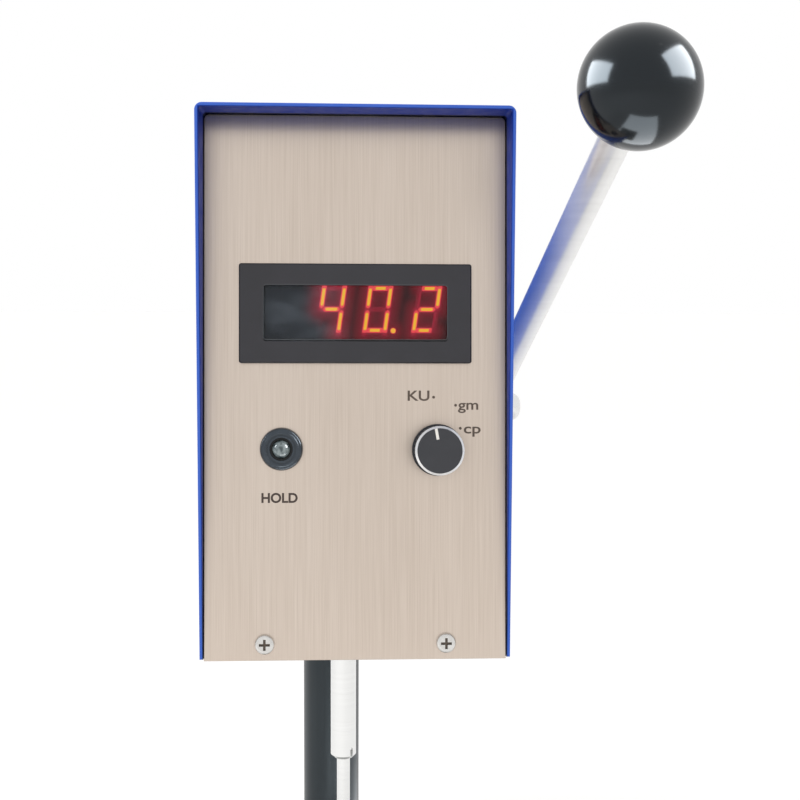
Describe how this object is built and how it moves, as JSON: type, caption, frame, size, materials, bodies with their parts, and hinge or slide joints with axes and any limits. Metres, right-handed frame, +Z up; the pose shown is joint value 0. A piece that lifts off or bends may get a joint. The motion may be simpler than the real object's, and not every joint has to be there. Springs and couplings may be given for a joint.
{
  "type": "rotational viscometer",
  "caption": "Bench paddle viscometer: a motor head with display slides on a column above a sample can, lifted by a ball-ended lever through a rack and sector gear.",
  "frame": {"origin": "centre of the can seat's floor, on the axis of the spindle", "axes": "+Z up along the spindle and the column, -Y out of the faceplate towards the user, +X to the user's right"},
  "size_m": [0.2185, 0.286, 0.5184],
  "materials": {
    "base_coat": "fine textured light grey",
    "blue_coat": "satin blue powder coat",
    "brushed": "brushed steel, vertical grain",
    "zinc_sheet": "plain zinc-plated sheet",
    "screw_steel": "polished screw heads",
    "dark_steel": "dark satin column",
    "polished": "polished steel",
    "gear_steel": "machined steel",
    "bronze": "sintered bronze",
    "cast_alloy": "machined casting",
    "alloy": "machined",
    "black_plastic": "satin black",
    "gloss_black": "polished black",
    "smoked_window": "smoked",
    "digit_face": "dark display face",
    "anodised": "dark spun face",
    "white_fill": "white filled mark",
    "grey_lens": "grey glossy cap",
    "rubber": "moulded",
    "board": "circuit board",
    "motor_case": "black motor"
  },
  "bodies": {
    "stand": {"base_plate": "base_coat", "feet": "rubber", "foot_screws": "gear_steel", "can_seat": "alloy", "seat_screws": "screw_steel", "column": "dark_steel", "column_bolt": "gear_steel", "column_cap": "dark_steel"},
    "head": {"cover": "blue_coat", "chassis": "zinc_sheet", "faceplate": "brushed", "casing_screws": "screw_steel", "roof_buffer": "rubber", "panel_clips": "zinc_sheet", "display_bezel": "black_plastic", "display_window": "smoked_window", "digit_block": "digit_face", "hold_bush": "gloss_black", "hold_nut": "gear_steel", "selector_body": "black_plastic", "selector_nut": "gear_steel", "slide_block": "cast_alloy", "column_bushes": "bronze", "chassis_screws": "gear_steel", "lever_bushes": "bronze", "wall_bush": "bronze", "spindle_housing": "cast_alloy", "spindle_bearings": "gear_steel", "torque_sensor": "black_plastic", "motor_pillars": "alloy", "motor_plate": "alloy", "drive_motor": "motor_case", "power_module": "motor_case", "board_bracket": "zinc_sheet", "circuit_boards": "board", "power_inlet": "black_plastic", "inlet_pins": "screw_steel", "rocker_body": "black_plastic"},
    "lever": {"sector_gear": "gear_steel", "gear_pin": "gear_steel", "lever_shaft": "gear_steel", "shaft_clip": "gear_steel", "lever_hub": "polished", "lever_rod": "polished", "lever_ball": "gloss_black", "lever_cap_nut": "polished"},
    "spindle": {"drive_sleeve": "polished", "sleeve_screw": "gear_steel", "rotor_shaft": "polished", "rotor_paddle": "polished", "torque_discs": "alloy", "torque_spring": "gear_steel", "motor_shaft": "gear_steel"},
    "hold_button": {"hold_collar": "black_plastic", "hold_lens": "grey_lens", "hold_spring": "gear_steel"},
    "selector": {"selector_shaft": "gear_steel", "selector_knob": "anodised", "knob_pointer": "white_fill"},
    "rocker": {"power_rocker": "gloss_black"}
  },
  "joints": [
    {"name": "head_slide", "type": "slide", "parent": "stand", "child": "head", "axis": [0, 0, 1], "range_m": [-0.08, 0]},
    {"name": "lever_turn", "type": "hinge", "parent": "head", "child": "lever", "pos_m": [0.0785, 0.1095, 0.3337], "axis": [1, 0, 0], "range_deg": [-127.4, 0]},
    {"name": "spindle_spin", "type": "hinge", "parent": "head", "child": "spindle", "pos_m": [0, 0, 0.25], "axis": [0, 0, 1], "continuous": true},
    {"name": "hold_press", "type": "slide", "parent": "head", "child": "hold_button", "axis": [0, 0.996, -0.0892], "range_m": [0, 0.0015], "stiffness_N_per_m": 400, "springref_m": -0.0005},
    {"name": "selector_turn", "type": "hinge", "parent": "head", "child": "selector", "pos_m": [0.0394, -0.04122, 0.32905], "axis": [0, 0.996, -0.0892], "range_deg": [0, 60]},
    {"name": "rocker_tilt", "type": "hinge", "parent": "head", "child": "rocker", "pos_m": [-0.028, 0.139, 0.3122], "axis": [1, 0, 0], "range_deg": [0, 16]}
  ],
  "couplings": [
    {"joint": "lever_turn", "follows": "head_slide", "rad_per_m": 27.778}
  ]
}
